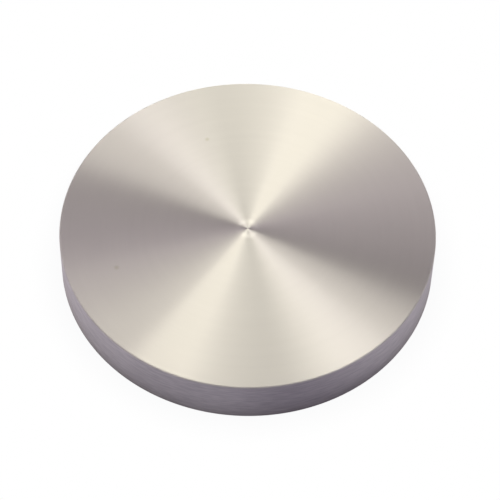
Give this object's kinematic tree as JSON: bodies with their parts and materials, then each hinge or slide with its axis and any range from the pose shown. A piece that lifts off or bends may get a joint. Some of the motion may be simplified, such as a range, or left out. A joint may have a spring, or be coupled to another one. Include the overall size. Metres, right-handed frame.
{
  "type": "blind flange",
  "caption": "Undrilled round blind flange: a solid lathe-faced steel disc with plain flat faces and a straight rim, for closing off a pipe or nozzle end.",
  "frame": {"origin": "centre of the gasket face, which is the disc's lower face", "axes": "+Z along the disc's axis, from the gasket face to the outer face; X and Y are any two directions across the disc"},
  "size_m": [0.127, 0.127, 0.0175],
  "materials": {
    "turned_steel": "lathe-turned: fine concentric tool marks on both faces and round the rim, warm grey, satin"
  },
  "bodies": {
    "root": {"flange_disc": "turned_steel"}
  },
  "joints": []
}
